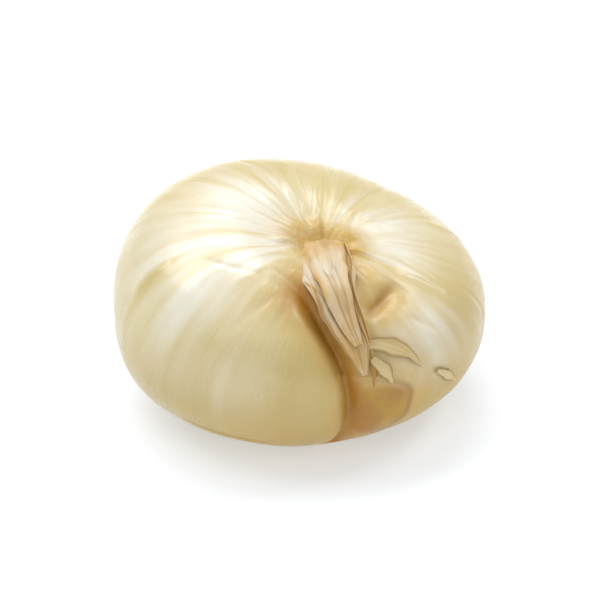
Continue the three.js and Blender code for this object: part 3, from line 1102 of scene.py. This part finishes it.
GOLDEN = srgb(202, 160, 84)
grey_leaf = dried_leaf("grey_dried_leaf", srgb(214, 202, 178), srgb(172, 138, 84), GOLDEN)
tan_leaf = dried_leaf("tan_dried_leaf", srgb(216, 192, 142), srgb(172, 130, 72), GOLDEN)
pale_shred = dried_leaf("pale_shred", srgb(216, 194, 142), srgb(180, 146, 86), srgb(118, 82, 34))
brown_leaf = dried_leaf("brown_strand", srgb(190, 140, 72), srgb(156, 106, 48), srgb(178, 122, 54))
root_matter = dried_leaf("dried_root", srgb(190, 160, 108), srgb(120, 88, 50), srgb(166, 132, 82))

# %% [markdown]
# ## Riding on the frame
#
# Every piece is told which body it moves with and which solids of the frame it stands for, and is
# listed with the finish of the record it wears. An onion has one body, `root`, and nothing on it moves.

# %% Ride and replace, with each piece's slot listed
upper_shred, lower_shred, loose_flake, brown_strand = shreds
PIECES = [
    (onion_skin, None, "papery_skin", ["bulb"]),
    (outer_sheath, grey_leaf, "dried_leaf", ["withered_neck"]),
    (inner_sheath, grey_leaf, "dried_leaf", []),
    (rolled_edge, tan_leaf, "dried_leaf", []),
    (neck_collar, tan_leaf, "dried_leaf", []),
    (neck_core, grey_leaf, "dried_leaf", []),
    (brown_strand, brown_leaf, "dried_leaf", []),
    (neck_fibres, tan_leaf, "dried_leaf", []),
    (upper_shred, pale_shred, "dried_leaf", ["torn_leaf_upper"]),
    (lower_shred, pale_shred, "dried_leaf", ["torn_leaf_lower"]),
    (loose_flake, pale_shred, "dried_leaf", []),
    (root_button, root_matter, "dried_root", ["root_plate"]),
    (dry_roots, root_matter, "dried_root", []),
]
for piece, material, slot, stands_for in PIECES:
    if material:
        piece.data.materials.append(material)
    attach(piece, "root")
    if stands_for:
        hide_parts(*stands_for)
print("pieces:", len(PIECES), " triangles:", sum(2 * len(p[0].data.polygons) for p in PIECES))

# %% [markdown]
# ## Floor, light and camera
#
# The onion stands on a plain white floor that glows a little, which keeps its shadow pale. One big
# lamp overhead would give one round highlight. Here four soft boxes stand left, right and behind, so
# that the pearly skin shows several long soft ones, and a weak one in front fills the shadows. The
# walls of the room are as pale as the far floor, so the two meet without a line, and its ceiling is
# darker. The camera looks down at 32 degrees through a long lens.

# %% Floor and backdrop
FLOOR_SIZE = 6.0
bm = bmesh.new()
bmesh.ops.create_grid(bm, x_segments=1, y_segments=1, size=FLOOR_SIZE)
floor = finish_piece(bm, "floor")
white, tree, shader = new_material("white_floor")
floor_values = {
    "Base Color": (0.63, 0.66, 0.70, 1.0),
    "Roughness": 0.7,
    "Emission Color": (0.96, 0.98, 1.0, 1.0),
    "Emission Strength": 0.44,
}
set_inputs(shader, floor_values)
floor.data.materials.append(white)


# %% Soft light
def soft_box(name, place, size, power):
    lamp = bpy.data.lights.new(name, "AREA")
    lamp.size = size
    lamp.energy = power
    holder = bpy.data.objects.new(name, lamp)
    holder.location = place
    holder.rotation_euler = (-Vector(place)).to_track_quat("-Z", "Y").to_euler()
    scene.collection.objects.link(holder)


soft_box("left_box", (-0.58, 0.06, 0.81), 0.38, 2.0)
soft_box("back_left_box", (-0.32, 0.34, 0.88), 0.38, 2.4)
soft_box("back_box", (0.03, 0.53, 0.85), 0.38, 2.4)
soft_box("right_box", (0.60, 0.30, 0.74), 0.30, 1.9)
soft_box("front_fill", (-0.10, -0.80, 0.58), 1.0, 1.8)
WALL = (0.77, 0.80, 0.82, 1.0)
CEILING = (0.49, 0.49, 0.49, 1.0)
scene.world = bpy.data.worlds.new("white_room")
scene.world.use_nodes = True
tree = scene.world.node_tree
background = tree.nodes["Background"]
direction = add_node(tree, "ShaderNodeTexCoord").outputs["Generated"]
upward = add_node(tree, "ShaderNodeSeparateXYZ", i0=direction).outputs[2]
room = mixed(tree, ranged(tree, upward, 0.0, 0.35), WALL, CEILING)
tree.links.new(room, background.inputs["Color"])
scene.view_settings.view_transform = "Standard"

# %% Camera
VIEW_ELEVATION = math.radians(32)
VIEW_DISTANCE = 0.68
FRAME_WIDTH = 0.1
SENSOR_WIDTH = 36.0
low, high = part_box("bulb")
aim = (low + high) / 2 + Vector((0, 0, -0.0006))
camera_data = bpy.data.cameras.new("camera")
camera_data.sensor_width = SENSOR_WIDTH
camera_data.lens = SENSOR_WIDTH * VIEW_DISTANCE / FRAME_WIDTH
camera = bpy.data.objects.new("camera", camera_data)
back = Vector((0, -math.cos(VIEW_ELEVATION), math.sin(VIEW_ELEVATION)))
camera.location = aim + back * VIEW_DISTANCE
camera.rotation_euler = (-back).to_track_quat("-Z", "Y").to_euler()
scene.collection.objects.link(camera)
scene.camera = camera
print("lens, mm:", round(camera_data.lens, 1))
